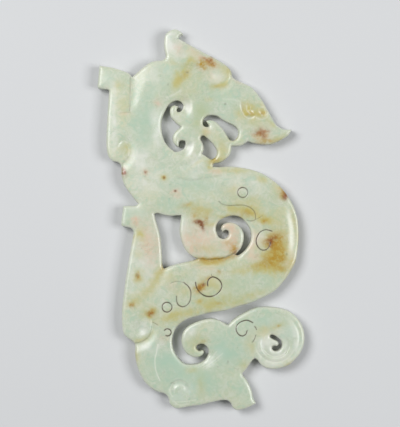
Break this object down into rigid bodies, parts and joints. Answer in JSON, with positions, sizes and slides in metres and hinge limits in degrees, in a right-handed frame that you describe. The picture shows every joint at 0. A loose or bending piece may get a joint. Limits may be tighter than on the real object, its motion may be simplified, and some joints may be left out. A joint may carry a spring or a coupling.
{
  "type": "jade carving",
  "caption": "Flat openwork jade plaque: a curled, beaked dragon with an S-shaped body, scrolls and a rolled tail. A loose ornament that lies on its flat back.",
  "frame": {"origin": "centre of the carving's outline box, on the plane of its flat back", "axes": "+X the way the beak points, +Y from the feet to the horn, +Z out of the carved front"},
  "size_m": [0.083, 0.1526, 0.006],
  "materials": {
    "pale_celadon_jade": "polished, slightly translucent"
  },
  "bodies": {
    "root": {"jade_carving": "pale_celadon_jade"}
  },
  "joints": []
}
